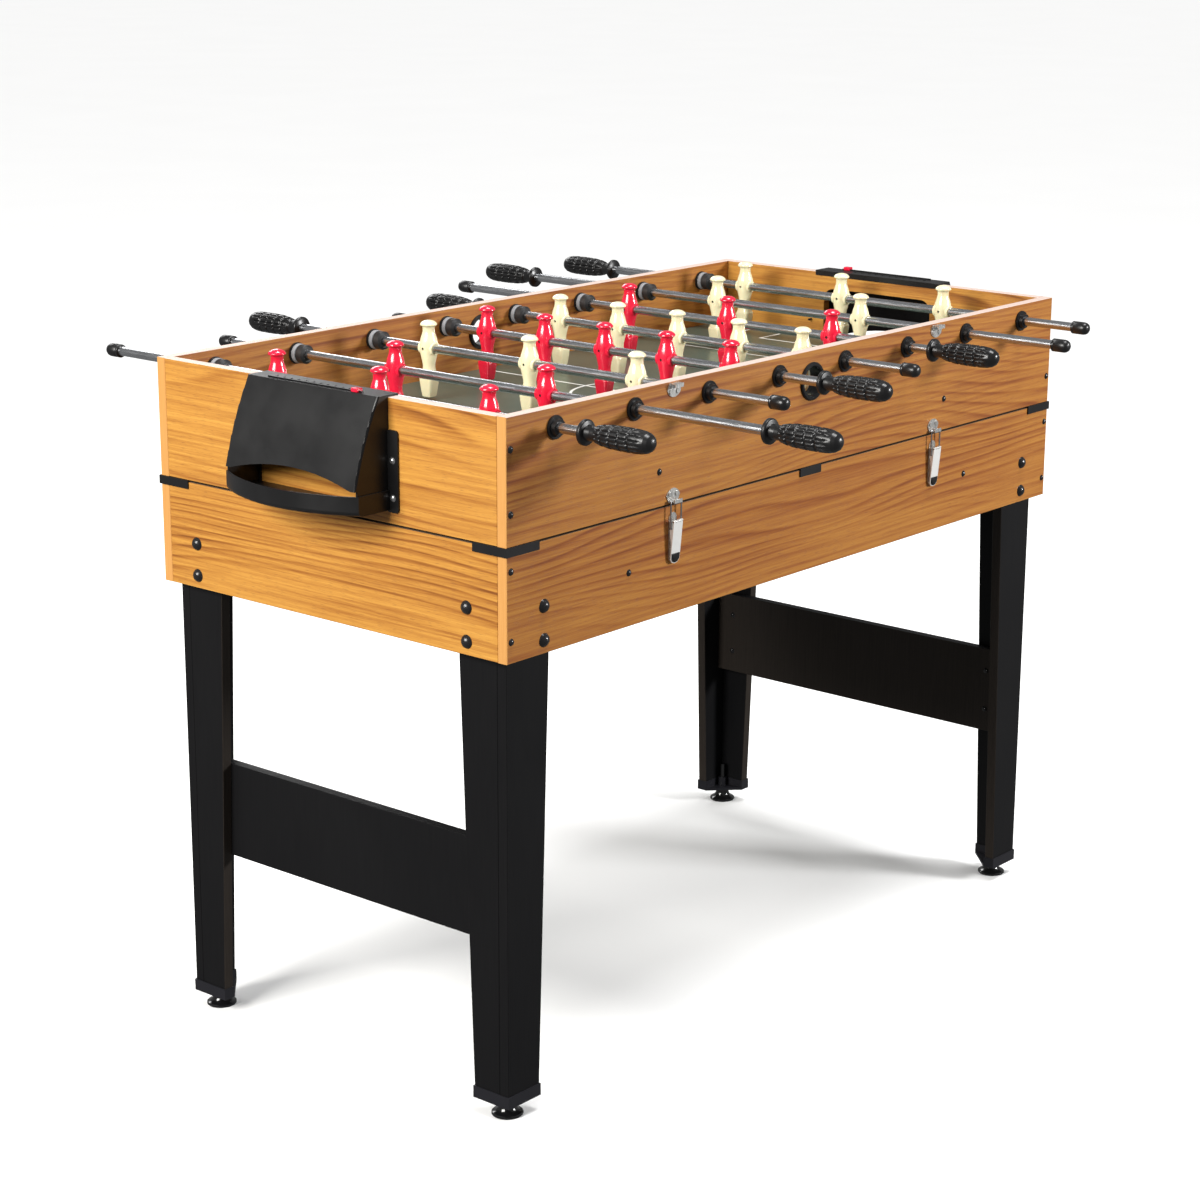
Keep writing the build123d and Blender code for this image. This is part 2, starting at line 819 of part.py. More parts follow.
with BuildPart() as leg:
    with BuildSketch(Plane.XZ.offset(-leg_y)):
        with BuildLine():
            leg_outline(leg_x, 0)
        make_face()
        with Locations(*[(bolt_x, z) for z in bolts_z]):
            Circle(bolt_radius + fit_gap, mode=Mode.SUBTRACT)
    extrude(amount=board)
    with BuildSketch(Plane.YZ.offset(leg_x - board)):
        with BuildLine():
            leg_outline(leg_y, board + joint_gap)
        make_face()
        with Locations(*[(bolt_y, z) for z in bolts_z]):
            Circle(bolt_radius + fit_gap, mode=Mode.SUBTRACT)
    extrude(amount=board)
    chamfer(board_edges(leg), edge_break)

with BuildPart() as leg_cap:
    # An L-shaped shoe with a web across its inner corner for the foot's thread.
    outer = cap_proud
    reach = leg_foot_width + cap_proud
    inner = board + cap_proud
    with BuildSketch(Plane.XY.offset(cap_bottom)):
        with BuildLine():
            Polyline(
                (leg_x + outer, leg_y + outer),
                (leg_x - reach, leg_y + outer),
                (leg_x - reach, leg_y - inner),
                (leg_x - inner, leg_y - reach),
                (leg_x + outer, leg_y - reach),
                close=True,
            )
        make_face()
    extrude(amount=4)
    with BuildSketch(Plane.XY.offset(cap_bottom + 4)):
        with BuildLine():
            Polyline(
                (leg_x + outer, leg_y + outer),
                (leg_x - reach, leg_y + outer),
                (leg_x - reach, leg_y - inner),
                (leg_x - inner, leg_y - inner),
                (leg_x - inner, leg_y - reach),
                (leg_x + outer, leg_y - reach),
                close=True,
            )
        make_face()
        with BuildLine():
            Polyline(
                (leg_x + 0.1, leg_y + 0.1),
                (leg_x - leg_foot_width - 0.7, leg_y + 0.1),
                (leg_x - leg_foot_width - 0.7, leg_y - board - 0.1),
                (leg_x - board - 0.1, leg_y - board - 0.1),
                (leg_x - board - 0.1, leg_y - leg_foot_width - 0.7),
                (leg_x + 0.1, leg_y - leg_foot_width - 0.7),
                close=True,
            )
        make_face(mode=Mode.SUBTRACT)
    extrude(amount=cap_top - cap_bottom - 4)
    with BuildSketch(Plane.XY.offset(cap_bottom)):
        with Locations((leg_x - stem_inset, leg_y - stem_inset)):
            Circle(7)
    extrude(amount=18)
    with BuildSketch(Plane.XY.offset(cap_bottom - 1)):
        with Locations((leg_x - stem_inset, leg_y - stem_inset)):
            Circle(stem_radius + fit_gap)
    extrude(amount=24, mode=Mode.SUBTRACT)

with BuildPart() as leg_boards:
    add(leg.part)
    add(leg.part.mirror(Plane.YZ))
    add(leg.part.mirror(Plane.XZ))
    add(leg.part.mirror(Plane.XZ).mirror(Plane.YZ))
leg_boards.part.label = "leg_boards"
export_step(leg_boards.part, "parts/leg_boards.step")

with BuildPart() as leg_caps:
    add(leg_cap.part)
    add(leg_cap.part.mirror(Plane.YZ))
    add(leg_cap.part.mirror(Plane.XZ))
    add(leg_cap.part.mirror(Plane.XZ).mirror(Plane.YZ))
leg_caps.part.label = "leg_caps"
export_step(leg_caps.part, "parts/leg_caps.step")

# Stretchers lie behind the end boards of the legs, between their side boards.
stretcher_x = leg_x - board - joint_gap - board / 2
with BuildPart() as stretchers:
    for side in (-1, 1):
        with Locations((side * stretcher_x, 0, (stretcher_bottom + stretcher_top) / 2)):
            Box(board, 2 * (leg_y - board - joint_gap), stretcher_top - stretcher_bottom)
    chamfer(board_edges(stretchers), edge_break)
stretchers.part.label = "stretchers"
export_step(stretchers.part, "parts/stretchers.step")

# A levelling foot: a wide dished base and a threaded stem.
with BuildPart() as foot_shape:
    with BuildSketch(Plane.XZ):
        with BuildLine():
            Polyline((0, 0), (19.5, 0), (20.5, 1), (20.5, 3.2), (19.5, 4.2))
            Spline((19.5, 4.2), (12.5, 9.5), (9.6, cap_bottom - 0.3), tangents=((-1, 0.25), (-0.1, 1)))
            Polyline(
                (9.6, cap_bottom - 0.3),
                (stem_radius, cap_bottom - 0.3),
                (stem_radius, 62),
                (0, 62),
                (0, 0),
            )
        make_face()
    revolve(axis=Axis.Z)

for end, x_side in (("left", -1), ("right", 1)):
    for place, y_side in (("front", -1), ("back", 1)):
        with BuildPart() as foot:
            with Locations((x_side * (leg_x - stem_inset), y_side * (leg_y - stem_inset), 0)):
                add(foot_shape.part)
        foot.part.label = f"foot_{place}_{end}"
        export_step(foot.part, f"parts/foot_{place}_{end}.step")

# ---------------------------------------------------------------- fasteners
# Screws and bolts are drawn with the outside of their head towards +Z and Z = 0 under the head.
with BuildPart() as wood_screw:
    with BuildSketch(Plane.XZ):
        with BuildLine():
            Line((0, -28), (0, 2.6))
            ThreePointArc((0, 2.6), (3.2, 1.7), (4.6, 0.05))
            Polyline((4.6, 0.05), (1.8, 0.05), (1.8, -24), (0, -28))
        make_face()
    revolve(axis=Axis.Z)

with BuildPart() as leg_bolt:
    with BuildSketch(Plane.XZ):
        with BuildLine():
            Line((0, -40), (0, 6))
            ThreePointArc((0, 6), (6, 4), (9, 0.05))
            Polyline((9, 0.05), (bolt_radius, 0.05), (bolt_radius, -40), (0, -40))
        make_face()
    revolve(axis=Axis.Z)
    # Washer and nut inside the leg.
    with BuildSketch(Plane.XY.offset(-2 * board - joint_gap - 0.1)):
        Circle(9)
    extrude(amount=-1.6)
    with BuildSketch(Plane.XY.offset(-2 * board - joint_gap - 1.7)):
        RegularPolygon(7.5, 6)
    extrude(amount=-6.5)

front_tilt = (90, 0, 0)
back_tilt = (-90, 0, 0)
left_tilt = (0, -90, 0)
right_tilt = (0, 90, 0)
corner_screw_x = half_length - board / 2
corner_screws_z = (box_bottom + 26.9, box_bottom + 113.9, box_bottom + 183.6, box_bottom + 262.4)
field_screw = (323, field_z - sheet - joint_gap - cleat / 2)
bed_screw = (382, bed_top - sheet - joint_gap - cleat / 2)
brace_screws_z = (stretcher_bottom + 35, stretcher_top - 35)

with BuildPart() as fasteners:
    for y, tilt in ((-half_width, front_tilt), (half_width, back_tilt)):
        for side in (-1, 1):
            for z in corner_screws_z:
                with Locations(Location((side * corner_screw_x, y, z), tilt)):
                    add(wood_screw.part)
            for x, z in (field_screw, bed_screw):
                with Locations(Location((side * x, y, z), tilt)):
                    add(wood_screw.part)
            for z in bolts_z:
                with Locations(Location((side * bolt_x, y, z), tilt)):
                    add(leg_bolt.part)
    for end, tilt, inward in ((-1, left_tilt, right_tilt), (1, right_tilt, left_tilt)):
        for side in (-1, 1):
            for z in bolts_z:
                with Locations(Location((end * half_length, side * bolt_y, z), tilt)):
                    add(leg_bolt.part)
            for z in lug_holes_z:
                with Locations(Location((end * (half_length + hood_skin + 0.2), side * lug_hole_y, z), tilt)):
                    add(wood_screw.part)
            for z in brace_screws_z:
                inside = stretcher_x - board / 2
                with Locations(Location((end * inside, side * (leg_y - 45), z), inward)):
                    add(wood_screw.part)
fasteners.part.label = "fasteners"
export_step(fasteners.part, "parts/fasteners.step")
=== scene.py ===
# %% [markdown]
# # A foosball table, dressed in Blender
# The solid model of the table comes from CAD and arrives as a fixed frame: boards, rods, legs and latches are already
# in their places, in metres. Here each surface gets its real finish, and the pieces that a CAD solid only blocks out,
# such as the ribbed grips and the moulded men, are built again as fine meshes. Loading comes first, because every
# place used further down is read from the frame.

# %% Load the frame
import json
import math

import bmesh
import bpy
from mathutils import Matrix, Vector


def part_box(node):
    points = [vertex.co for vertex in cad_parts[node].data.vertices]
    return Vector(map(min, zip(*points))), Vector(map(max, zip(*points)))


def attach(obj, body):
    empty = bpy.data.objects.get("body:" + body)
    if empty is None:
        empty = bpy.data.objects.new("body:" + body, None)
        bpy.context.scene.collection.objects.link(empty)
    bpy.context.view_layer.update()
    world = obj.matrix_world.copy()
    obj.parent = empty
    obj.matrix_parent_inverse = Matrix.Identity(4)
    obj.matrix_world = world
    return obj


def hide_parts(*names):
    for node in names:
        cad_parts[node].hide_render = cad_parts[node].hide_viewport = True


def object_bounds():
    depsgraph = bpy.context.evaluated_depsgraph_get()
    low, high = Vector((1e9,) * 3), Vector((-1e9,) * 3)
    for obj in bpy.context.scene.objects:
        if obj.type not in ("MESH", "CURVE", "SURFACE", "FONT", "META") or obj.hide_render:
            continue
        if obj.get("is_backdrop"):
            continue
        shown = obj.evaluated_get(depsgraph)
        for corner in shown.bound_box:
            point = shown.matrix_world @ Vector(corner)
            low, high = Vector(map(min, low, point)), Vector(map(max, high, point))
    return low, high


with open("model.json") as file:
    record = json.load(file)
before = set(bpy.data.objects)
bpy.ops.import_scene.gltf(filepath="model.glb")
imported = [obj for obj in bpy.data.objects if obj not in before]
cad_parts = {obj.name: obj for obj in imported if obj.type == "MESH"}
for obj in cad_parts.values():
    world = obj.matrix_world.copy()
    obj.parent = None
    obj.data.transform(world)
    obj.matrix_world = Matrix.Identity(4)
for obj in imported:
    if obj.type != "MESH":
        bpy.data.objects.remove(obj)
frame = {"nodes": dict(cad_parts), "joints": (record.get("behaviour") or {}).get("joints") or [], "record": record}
cad_low, cad_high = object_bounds()
nodes = frame["nodes"]
joints = {joint["name"]: joint for joint in frame["joints"]}
cad_size = cad_high - cad_low
print(f"{len(nodes)} nodes in a box of {cad_size.x:.3f} by {cad_size.y:.3f} by {cad_size.z:.3f} m")

# %% [markdown]
# ## Places on the table
# Most finishes change at a line on the table, such as the edge of a board. Those lines are read from the boxes of the
# CAD nodes, so a change in the CAD moves the finish with it. A rod's own line is the axis of its spin joint.

# %% Lines and heights
upper_low, upper_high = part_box("upper_box")
lower_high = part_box("lower_box")[1]
field_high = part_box("playfield")[1]
half_length = upper_high.x
half_width = upper_high.y
table_top = upper_high.z
split_z = (lower_high.z + upper_low.z) / 2
inner_x = field_high.x + 0.0003
inner_y = field_high.y + 0.0003
rod_numbers = range(1, 9)
rod_line = {n: Vector(joints[f"rod_{n}_spin"]["pos_m"]) for n in rod_numbers}
rod_z = rod_line[1].z
print(f"table {2 * half_length:.3f} by {2 * half_width:.3f} m, top at {table_top:.3f}, rods at {rod_z:.4f}")

# %% [markdown]
# ## Shader arithmetic
# A material is a graph of nodes, and a long graph is hard to read. It could be clicked together in the editor, or
# written as a list of nodes and links. A small class is easier to follow: it wraps one output of a node, so that
# `1 - mask` or `tone * 0.3` adds the Math nodes by itself.

# %% Signals


class Signal:
    """One output of a shader node, usable in arithmetic with numbers and other signals."""

    def __init__(self, finish, socket):
        self.finish = finish
        self.socket = socket

    def combine(self, operation, first, second=0.0):
        return self.finish.node("ShaderNodeMath", {"operation": operation}, {0: first, 1: second})

    def __add__(self, other):
        return self.combine("ADD", self, other)

    def __sub__(self, other):
        return self.combine("SUBTRACT", self, other)

    def __rsub__(self, other):
        return self.combine("SUBTRACT", other, self)

    def __mul__(self, other):
        return self.combine("MULTIPLY", self, other)

    def __truediv__(self, other):
        return self.combine("DIVIDE", self, other)

    def __pow__(self, other):
        return self.combine("POWER", self, other)

    def __gt__(self, other):
        return self.combine("GREATER_THAN", self, other)

    def __lt__(self, other):
        return self.combine("LESS_THAN", self, other)

    def __abs__(self):
        return self.combine("ABSOLUTE", self)

    __radd__ = __add__
    __rmul__ = __mul__


print("a Signal can be added, taken away, multiplied, divided, raised and compared")

# %% [markdown]
# A finish is one material. Every node that isn't plain arithmetic comes from its node method, which takes the type,
# the settings and the sockets in that order, because some settings change which sockets exist. Numbers that are the
# same all over a surface are set on the surface shader itself, and the short methods below are the few nodes that
# nearly every finish needs: a place, a direction, a noise, a ramp, a fade, a mix and a bump.

# %% Finishes


class Finish:
    """A material with one Principled surface; keyword values are set on its own sockets."""

    def __init__(self, name, **constants):
        self.material = bpy.data.materials.new(name)
        self.material.use_nodes = True
        self.tree = self.material.node_tree
        self.skin = self.tree.nodes["Principled BSDF"]
        for socket, value in constants.items():
            self.skin.inputs[socket.replace("_", " ")].default_value = value

    def feed(self, socket, value):
        if isinstance(value, Signal):
            self.tree.links.new(value.socket, socket)
        else:
            socket.default_value = value

    def node(self, kind, settings=None, sockets=None, output=0):
        made = self.tree.nodes.new(kind)
        for name, value in (settings or {}).items():
            if name == "stops":
                ramp = made.color_ramp
                while len(ramp.elements) < len(value):
                    ramp.elements.new(0.5)
                for element, (place, colour) in zip(ramp.elements, value):
                    element.position = place
                    element.color = (*colour, 1)
            else:
                setattr(made, name, value)
        for name, value in (sockets or {}).items():
            self.feed(made.inputs[name], value)
        return Signal(self, made.outputs[output])

    def paint(self, **signals):
        for socket, value in signals.items():
            self.feed(self.skin.inputs[socket.replace("_", " ")], value)
        return self

    def split(self, vector):
        kind = "ShaderNodeSeparateXYZ"
        return [self.node(kind, None, {0: vector}, axis) for axis in range(3)]

    def place(self):
        return self.split(self.node("ShaderNodeTexCoord", None, None, "Object"))

    def facing(self):
        return self.split(self.node("ShaderNodeNewGeometry", None, None, "True Normal"))

    def noise(self, x, y, z, detail=2.0, roughness=0.5):
        where = self.node("ShaderNodeCombineXYZ", None, {0: x, 1: y, 2: z})
        sockets = {"Vector": where, "Scale": 1.0, "Detail": detail, "Roughness": roughness}
        return self.node("ShaderNodeTexNoise", None, sockets)

    def ramp(self, signal, *stops):
        return self.node("ShaderNodeValToRGB", {"stops": stops}, {0: signal})

    def fade(self, signal, low, high, to_low=0.0, to_high=1.0):
        settings = {"interpolation_type": "SMOOTHSTEP", "clamp": True}
        sockets = {0: signal, 1: low, 2: high, 3: to_low, 4: to_high}
        return self.node("ShaderNodeMapRange", settings, sockets)

    def mix(self, share, under, over):
        under, over = [(*c, 1) if isinstance(c, tuple) else c for c in (under, over)]
        return self.node("ShaderNodeMix", {"data_type": "RGBA"}, {0: share, 6: under, 7: over}, 2)

    def bump(self, height, distance, strength=1.0):
        sockets = {"Height": height, "Distance": distance, "Strength": strength}
        return self.node("ShaderNodeBump", None, sockets)


def dress(names, finish):
    """Gives CAD nodes one finish."""
    for name in names:
        mesh = nodes[name].data
        mesh.materials.clear()
        mesh.materials.append(finish.material)
    print(f"{finish.material.name}: {len(finish.tree.nodes)} shader nodes on {', '.join(names)}")


print("finishes are ready to be mixed")

# %% [markdown]
# ## Honey laminate
# The cabinet is board covered in printed wood foil. A printed figure has three layers: growth rings, which run along
# the board and close into long loops; soft streaks; and short dark pores. Rings are the contour lines of a stretched
# noise added to the height, which gives nested loops for free, and an image would only repeat. Top edges carry a
# pale edge band, and the ends of the long boards show as upright golden strips.

# %% The cabinet's boards
rings_per_metre = 70
ring_sway = 12
# Colour of the painted shade laid over the faces of the long sides.
long_side_painted_shade = (0.23, 0.030, 0.004)


def honey_laminate():
    finish = Finish("honey_laminate", Specular_IOR_Level=0.34)
    x, y, z = finish.place()
    nx, ny, nz = finish.facing()
    on_end = abs(nx) > 0.5
    flat = abs(nz) > 0.5
    upper = z > split_z
    along = x + (y - x) * on_end + on_end * 3.7 + upper * 1.9 + (nx > 0.5) * 2.3 + (ny > 0.5) * 5.3
    # Growth rings: contour lines of height plus a slow, stretched noise.
    wander = finish.noise(along * 1.3, z * 7, upper * 3, 1.5, 0.4)
    turns = finish.node("ShaderNodeMath", {"operation": "FRACT"}, {0: z * rings_per_metre + wander * ring_sway})
    ring = finish.ramp(turns, (0, (0.15,) * 3), (0.5, (0.32,) * 3), (0.84, (1,) * 3), (1, (0.15,) * 3))
    strength = finish.noise(along * 2.6, z * 9, 4.2, 1.0)
    streak = finish.noise(along * 4, z * 230, 1.7, 3.0, 0.6)
    fibre = finish.noise(along * 22, z * 950, 2.9, 2.0, 0.6)
    tone = ring * finish.fade(strength, 0.32, 0.68, 0.08, 0.40) + streak * 0.74 + fibre * 0.34
    wood = finish.ramp(
        tone,
        (0.34, (0.640, 0.325, 0.066)),
        (0.56, (0.520, 0.240, 0.045)),
        (0.80, (0.350, 0.134, 0.023)),
        (1.00, (0.190, 0.060, 0.010)),
    )
    pores = finish.fade(finish.noise(along * 70, z * 1250, 8.1, 1.0), 0.60, 0.72)
    wood = finish.mix(pores * 0.42, wood, (0.16, 0.052, 0.014))
    # Painted shade: the faces of the long boards are darkened and browned, standing in for the weaker light on the
    # long sides than on the ends.
    wood = finish.mix((1 - on_end) * 0.32, wood, long_side_painted_shade)
    # Upright edge strips on the ends of the long boards.
    upright = finish.noise(y * 900, z * 18, x * 2, 2.0, 0.6)
    strip = finish.mix(upright, (0.66, 0.34, 0.105), (0.50, 0.225, 0.058))
    on_strip = on_end * (abs(y) > inner_y)
    wood = finish.mix(on_strip, wood, strip)
    # Pale edge band on top, raw board below.
    fleck = finish.noise(x * 160, y * 160, 0.0, 3.0, 0.7)
    band = finish.mix(fleck, (0.66, 0.53, 0.47), (0.46, 0.34, 0.29))
    raw = finish.mix(fleck, (0.115, 0.070, 0.040), (0.060, 0.035, 0.020))
    edge = finish.mix(z > table_top - 0.01, raw, band)
    finish.paint(
        Base_Color=finish.mix(flat, wood, edge),
        Roughness=finish.fade(streak, 0.2, 0.8, 0.33, 0.44) + pores * 0.12 + flat * 0.2,
        Normal=finish.bump(0.0 - pores * 0.6 - fibre * 0.4, 0.00025, 0.35),
    )
    return finish


dress(["upper_box", "lower_box"], honey_laminate())

# %% [markdown]
# ## Softwood cleats
# Nobody sees the battens under the pitch without lying on the floor, but they are bare pine, and a view from below
# shows them. Two tones and a fine fibre are enough.

# %% The cleats
pine = Finish("bare_pine", Roughness=0.72)
x, y, z = pine.place()
fibre = pine.noise((x + y) * 9, (x - y) * 9, z * 420, 3.0, 0.6)
pine.paint(Base_Color=pine.mix(fibre, (0.70, 0.50, 0.28), (0.48, 0.30, 0.14)), Normal=pine.bump(fibre, 0.0003, 0.3))
dress(["cleats"], pine)

# %% [markdown]
# ## The pitch
# The pitch is a sheet printed in dark green with white lines. A line is drawn where the distance to it is under half
# its width: that distance is plain arithmetic on the position, so the print stays sharp at any size. The lacquer over
# the print is smooth and faintly clouded.

# %% The printed sheet
line_width = 0.004
circle_radius = 0.090
spot_radius = 0.0064
area_depth = 0.232
area_half = 0.208
goal_area_depth = 0.104
goal_area_half = 0.147


def pitch_green():
    finish = Finish("pitch_green", IOR=1.5)
    x, y, _ = finish.place()
    reach, side = abs(x), abs(y)
    middle = (x * x + y * y) ** 0.5

    def stroke(distance):
        return finish.fade(abs(distance), line_width * 0.42, line_width * 0.62, 1.0, 0.0)

    def box(depth, half):
        front_x = inner_x - depth
        front = stroke(reach - front_x) * (side < half + line_width / 2)
        flank = stroke(side - half) * (reach > front_x)
        return finish.node("ShaderNodeMath", {"operation": "MAXIMUM"}, {0: front, 1: flank})

    spot = finish.fade(middle, spot_radius - 0.0004, spot_radius + 0.0004, 1.0, 0.0)
    marks = [stroke(x), stroke(middle - circle_radius), spot]
    marks += [box(area_depth, area_half), box(goal_area_depth, goal_area_half)]
    lines = marks[0]
    for mark in marks[1:]:
        lines = finish.node("ShaderNodeMath", {"operation": "MAXIMUM"}, {0: lines, 1: mark})
    cloud = finish.noise(x * 7, y * 7, 0.0, 4.0, 0.6)
    grain = finish.noise(x * 700, y * 700, 1.0, 2.0, 0.6)
    green = finish.mix(cloud, (0.052, 0.076, 0.056), (0.078, 0.104, 0.080))
    green = finish.mix(grain * 0.3, green, (0.035, 0.052, 0.038))
    finish.paint(
        Base_Color=finish.mix(lines * 0.94, green, (0.80, 0.82, 0.78)),
        Roughness=0.24 + cloud * 0.12,
        Normal=finish.bump(grain, 0.0001, 0.12),
    )
    return finish


dress(["playfield", "lower_bed"], pitch_green())

# %% [markdown]
# ## Black plastics, board and steel
# Half the table is black, and black parts only read apart by their gloss. Nylon bearings are satin, the goal hood has
# a fine moulded grain, the legs are foil with an upright grain and a browner cut edge, and the feet are polished.
# One function makes them all from a tone, a gloss and a grain size, so that they differ on purpose. A goal hood is
# handled more than anything else on the table, so its rounded side rims are also rubbed smoother than its faces.

# %% One function for black parts
# The hood's side rims end at this height, where the front of its ball tray begins.
hood_foot = 0.803
rim_facing = (0.30, 0.985)


def black_part(name, tone, roughness, grain, depth, warm=0.0, rubbed=0.0, **constants):
    """A black finish with a grain of so many bumps a metre; warm takes blue out, rubbed smooths a hood's rims."""
    finish = Finish(name, IOR=1.5, **constants)
    x, y, z = finish.place()
    speckle = finish.noise(x * grain, y * grain, z * grain, 2.0, 0.6)
    haze = finish.noise(x * 14, y * 14, z * 14, 3.0, 0.6)
    low = (tone, tone, tone * (1.06 - warm))
    high = (tone * 1.9, tone * 1.85, tone * (1.95 - warm))
    # The rims are the faces that look neither along the table nor straight across it.
    across = abs(finish.facing()[1])
    rim = (across > rim_facing[0]) * (across < rim_facing[1]) * (z > hood_foot)
    finish.paint(
        Base_Color=finish.mix(haze * 0.7 + speckle * 0.3, low, high),
        Roughness=finish.fade(haze, 0.25, 0.75, roughness - 0.05, roughness + 0.07) - rim * rubbed,
        Normal=finish.bump(speckle, depth, 0.5),
    )
    return finish


moulding = black_part("grained_moulding", 0.0048, 0.36, 900, 0.00012, 0.0, 0.18, Specular_IOR_Level=0.32)
nylon = black_part("bearing_nylon", 0.006, 0.32, 1500, 0.00004, Specular_IOR_Level=0.3)
polished = black_part("polished_black", 0.004, 0.16, 260, 0.00002, Coat_Weight=0.4, Coat_Roughness=0.08)
guard = black_part("guard_plastic", 0.006, 0.42, 1100, 0.0001, Specular_IOR_Level=0.25)
dress(["goal_units"], moulding)
dress(["rod_bearings", "ball_rings"], nylon)
dress(["edge_protectors"], guard)
dress(["leg_caps"], black_part("cap_plastic", 0.008, 0.40, 900, 0.0001, -0.35, Specular_IOR_Level=0.3))
dress([f"foot_{place}_{end}" for place in ("front", "back") for end in ("left", "right")], polished)

# %% [markdown]
# Leg boards are foil-wrapped, with the cut edges showing slightly browner. The edges could be picked out by hand in
# the CAD, but a mask does it: a cut edge is known by the way its face points and by how far in it lies, because the
# boards' broad faces are all at the outside of the leg.

# %% The legs
leg_board = 0.0151
cut_margin = 0.001


def leg_foil():
    finish = Finish("leg_foil", Specular_IOR_Level=0.13)
    x, y, z = finish.place()
    nx, ny, _ = finish.facing()
    leg_x, leg_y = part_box("leg_boards")[1].xy
    cut = (abs(nx) > 0.5) * (abs(x) < leg_x - leg_board - cut_margin)
    cut = cut + (abs(ny) > 0.5) * (abs(y) < leg_y - leg_board - cut_margin)
    grain = finish.noise((x + y) * 620, (x - y) * 620, z * 16, 3.0, 0.6)
    cloud = finish.noise(x * 9, y * 9, z * 5, 3.0, 0.5)
    black = finish.mix(grain, (0.0035, 0.0035, 0.0042), (0.0085, 0.0083, 0.0088))
    brown = finish.mix(grain, (0.015, 0.012, 0.010), (0.040, 0.032, 0.026))
    finish.paint(
        Base_Color=finish.mix(cut, black, brown),
        Roughness=finish.fade(cloud, 0.3, 0.7, 0.42, 0.54),
        Normal=finish.bump(grain, 0.00022, 0.35),
    )
    return finish


dress(["leg_boards", "stretchers"], leg_foil())

# %% [markdown]
# ## Steel and chrome
# Rods are plated tube, polished along their length, so their highlights break into long streaks. The streaks are a
# noise stretched along the rod that feeds the roughness and a faint bump. Latch parts are zinc plated: duller, with
# a slight warm cloud. The levers' broad faces are dulled almost to white, so they are made less metallic.

# %% Metal finishes


def plated_rod():
    finish = Finish("plated_rod", Metallic=1.0)
    x, y, z = finish.place()
    streak = finish.noise(x * 2600, y * 26, z * 2600, 3.0, 0.65)
    smear = finish.noise(x * 500, y * 9, z * 500, 3.0, 0.6)
    finish.paint(
        Base_Color=finish.mix(smear, (0.40, 0.41, 0.43), (0.74, 0.75, 0.77)),
        Roughness=finish.fade(streak, 0.3, 0.7, 0.13, 0.34),
        Normal=finish.bump(streak + smear, 0.00006, 0.5),
    )
    return finish


def zinc_plate(name, low, high, roughness, metallic=1.0):
    finish = Finish(name, Metallic=metallic)
    x, y, z = finish.place()
    brushed = finish.noise(x * 2400, y * 2400, z * 60, 3.0, 0.6)
    cloud = finish.noise(x * 90, y * 90, z * 90, 3.0, 0.6)
    finish.paint(
        Base_Color=finish.mix(cloud, low, high),
        Roughness=finish.fade(brushed, 0.25, 0.75, roughness - 0.07, roughness + 0.1),
        Normal=finish.bump(brushed, 0.00004, 0.4),
    )
    return finish


zinc = zinc_plate("zinc_plate", (0.60, 0.60, 0.58), (0.84, 0.83, 0.80), 0.30)
lever_zinc = zinc_plate("lever_face", (0.84, 0.83, 0.80), (0.93, 0.92, 0.89), 0.46, 0.45)
wire = zinc_plate("latch_wire", (0.34, 0.34, 0.35), (0.55, 0.55, 0.56), 0.2)
latch_places = [f"{place}_{side}" for place in ("front", "back") for side in ("left", "right")]
dress([f"rod_{n}_tube" for n in rod_numbers], plated_rod())
dress(["latch_hardware"], zinc)
dress([f"latch_lever_{latch}" for latch in latch_places], lever_zinc)
dress([f"latch_bail_{latch}" for latch in latch_places], wire)

# %% [markdown]
# ## Fasteners
# Bolt and screw heads are black oxide, except for the four bright screws that hold each goal unit. They are one CAD
# node, so a mask on the position picks out the bright ones: they are the only heads near the middle of an end board.

# %% Bolt and screw heads


def black_oxide():
    finish = Finish("black_oxide", Specular_IOR_Level=0.34, Coat_Weight=0.15, Coat_Roughness=0.10)
    x, y, z = finish.place()
    lug_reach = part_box("goal_units")[1].y
    bright = (abs(y) < lug_reach) * (abs(x) > half_length)
    wear = finish.noise(x * 420, y * 420, z * 420, 3.0, 0.6)
    black = finish.mix(wear, (0.006, 0.006, 0.007), (0.020, 0.019, 0.020))
    steel = finish.mix(wear, (0.30, 0.30, 0.31), (0.52, 0.52, 0.52))
    finish.paint(
        Base_Color=finish.mix(bright, black, steel),
        Metallic=bright * 0.9,
        Roughness=finish.fade(wear, 0.3, 0.7, 0.20, 0.34),
    )
    return finish


dress(["fasteners"], black_oxide())

# %% [markdown]
# ## Sleeves and bumpers
# Each bearing shows a grey ring against the wall and a black rubber bumper in front of it. They turn together, so
# they are one CAD node, and the grey is a band between two distances from the middle of the table.

# %% Grey ring, black bumper
ring_band = (0.2831, 0.2895)


def sleeve_plastic():
    finish = Finish("sleeve_plastic", IOR=1.5)
    x, y, z = finish.place()
    reach = abs(y)
    grey = (reach > ring_band[0]) * (reach < ring_band[1])
    haze = finish.noise(x * 60, y * 60, z * 60, 3.0, 0.6)
    speckle = finish.noise(x * 1500, y * 1500, z * 1500, 1.0, 0.5)
    pale = finish.mix(haze, (0.20, 0.21, 0.225), (0.31, 0.32, 0.34))
    black = finish.mix(haze, (0.008, 0.008, 0.009), (0.020, 0.020, 0.021))
    finish.paint(
        Base_Color=finish.mix(grey, black, pale),
        Roughness=0.40 + haze * 0.12,
        Normal=finish.bump(speckle, 0.00005, 0.4),
    )
    return finish


dress([f"rod_{n}_sleeves" for n in rod_numbers], sleeve_plastic())

# %% [markdown]
# ## Building round pieces
# Grips, caps and men are all stacks of closed rings. One function joins a list of rings into a skin and caps both
# ends with a fan, so each piece only has to say what its rings look like. Rings that are close together where the
# shape turns sharply keep the edges crisp, and normals are smoothed only below an angle.

# %% Rings into a skin


